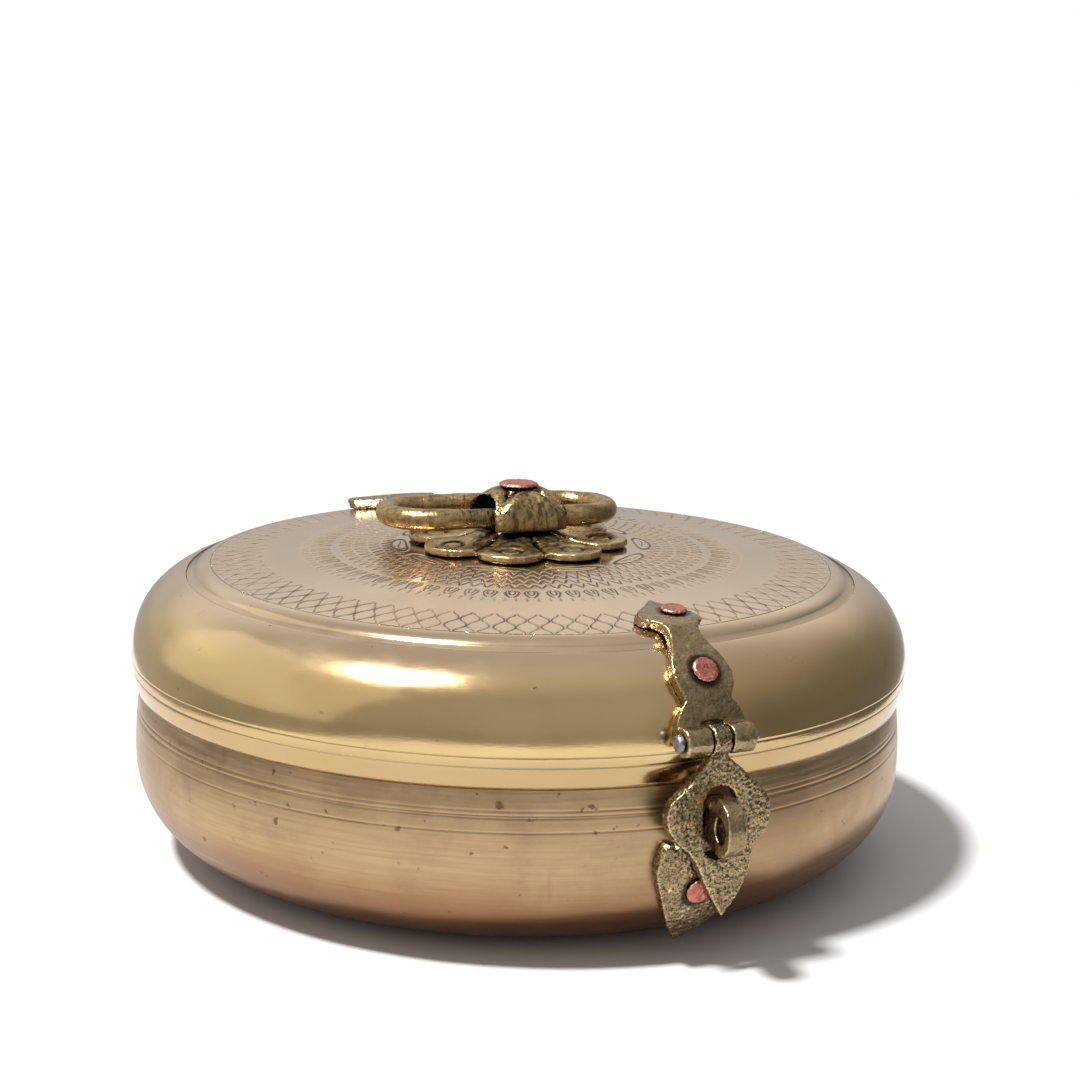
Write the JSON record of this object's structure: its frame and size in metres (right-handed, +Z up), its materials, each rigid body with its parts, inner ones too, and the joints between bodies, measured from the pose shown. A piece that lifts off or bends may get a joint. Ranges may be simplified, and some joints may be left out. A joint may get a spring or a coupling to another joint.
{
  "type": "spice box masala dabba",
  "caption": "Round brass spice box with a hinged domed lid, hasp and staple, swinging ring handle and loose spice cups inside.",
  "frame": {"origin": "centre of the flat underside", "axes": "+Z up, the hasp faces -Y and the lid's hinge is at +Y, +X to the right of someone facing the hasp"},
  "size_m": [0.2396, 0.2681, 0.1135],
  "materials": {
    "brass_lid": "polished, lightly worn",
    "brass_base": "satin, brown patina towards the foot",
    "brass_cast": "sand cast, pitted, dark in the hollows",
    "copper": "hammered copper",
    "iron": "peened, dull grey"
  },
  "bodies": {
    "base": {"base_bowl": "brass_base", "base_collar": "brass_base", "staple_plate": "brass_cast", "staple_eye": "brass_cast", "staple_washer": "brass_cast", "staple_rivet": "copper", "rear_leaf": "brass_cast", "rear_leaf_rivet_1": "copper", "rear_leaf_rivet_2": "copper"},
    "lid": {"lid_shell": "brass_lid", "front_strap": "brass_cast", "front_strap_rivet_1": "copper", "front_strap_rivet_2": "copper", "front_pin": "iron", "rear_strap": "brass_cast", "rear_strap_rivet_1": "copper", "rear_strap_rivet_2": "copper", "rear_pin": "iron", "rosette": "brass_cast", "handle_knob": "brass_cast", "knob_rivet": "copper", "knob_washer": "brass_cast"},
    "hasp": {"hasp_plate": "brass_cast"},
    "handle": {"handle_ring": "brass_cast"},
    "cup_1": {"spice_cup_1": "brass_lid"},
    "cup_2": {"spice_cup_2": "brass_lid"},
    "cup_3": {"spice_cup_3": "brass_lid"},
    "cup_4": {"spice_cup_4": "brass_lid"},
    "cup_5": {"spice_cup_5": "brass_lid"},
    "cup_6": {"spice_cup_6": "brass_lid"},
    "cup_7": {"spice_cup_7": "brass_lid"}
  },
  "joints": [
    {"name": "lid_hinge", "type": "hinge", "parent": "base", "child": "lid", "pos_m": [0, 0.1242, 0.0536], "axis": [-1, 0, 0], "range_deg": [0, 105]},
    {"name": "hasp_swing", "type": "hinge", "parent": "lid", "child": "hasp", "pos_m": [0, -0.1253, 0.0658], "axis": [-1, 0, 0], "range_deg": [0, 190]},
    {"name": "handle_swing", "type": "hinge", "parent": "lid", "child": "handle", "pos_m": [-0.00186, -0.00483, 0.1034], "axis": [0.9877, -0.1564, 0], "range_deg": [0, 184]},
    {"name": "cup_1_lift", "type": "slide", "parent": "base", "child": "cup_1", "axis": [0, 0, 1], "range_m": [0, 0.03]},
    {"name": "cup_2_lift", "type": "slide", "parent": "base", "child": "cup_2", "axis": [0, 0, 1], "range_m": [0, 0.03]},
    {"name": "cup_3_lift", "type": "slide", "parent": "base", "child": "cup_3", "axis": [0, 0, 1], "range_m": [0, 0.03]},
    {"name": "cup_4_lift", "type": "slide", "parent": "base", "child": "cup_4", "axis": [0, 0, 1], "range_m": [0, 0.03]},
    {"name": "cup_5_lift", "type": "slide", "parent": "base", "child": "cup_5", "axis": [0, 0, 1], "range_m": [0, 0.03]},
    {"name": "cup_6_lift", "type": "slide", "parent": "base", "child": "cup_6", "axis": [0, 0, 1], "range_m": [0, 0.03]},
    {"name": "cup_7_lift", "type": "slide", "parent": "base", "child": "cup_7", "axis": [0, 0, 1], "range_m": [0, 0.03]}
  ]
}
